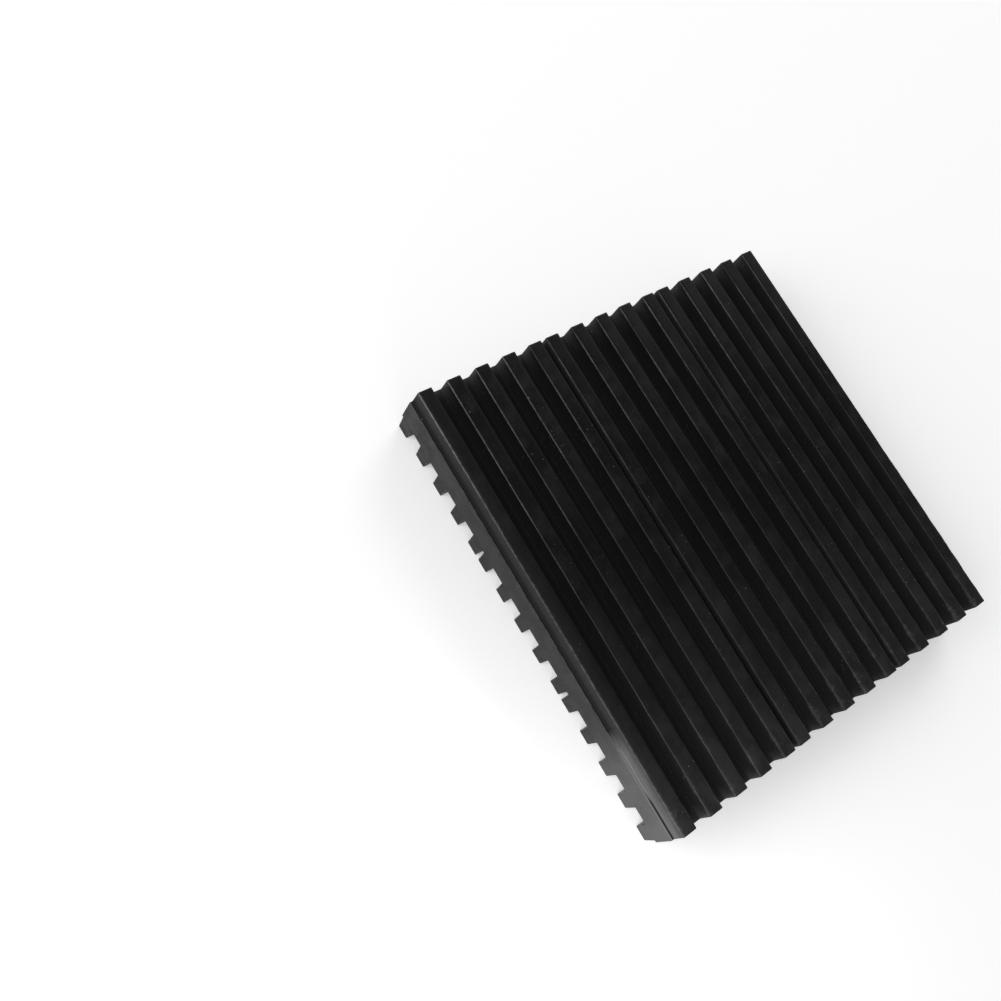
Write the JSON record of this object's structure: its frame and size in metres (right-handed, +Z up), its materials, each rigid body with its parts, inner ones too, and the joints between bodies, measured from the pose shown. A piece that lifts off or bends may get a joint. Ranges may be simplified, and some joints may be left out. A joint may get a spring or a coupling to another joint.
{
  "type": "anti-vibration pad",
  "caption": "Square solid-rubber anti-vibration pad with parallel drafted ribs on its top face and ribs at right angles below, laid under machine feet to damp vibration.",
  "frame": {"origin": "middle of the square formed by the bottom rib crests, at the level that the pad rests on", "axes": "+Z up through the thickness, top ribs along X, bottom ribs along Y"},
  "size_m": [0.1524, 0.1524, 0.0222],
  "materials": {
    "black_rubber": "satin moulded ribs with matt cut edges"
  },
  "bodies": {
    "root": {"ribbed_pad": "black_rubber"}
  },
  "joints": []
}
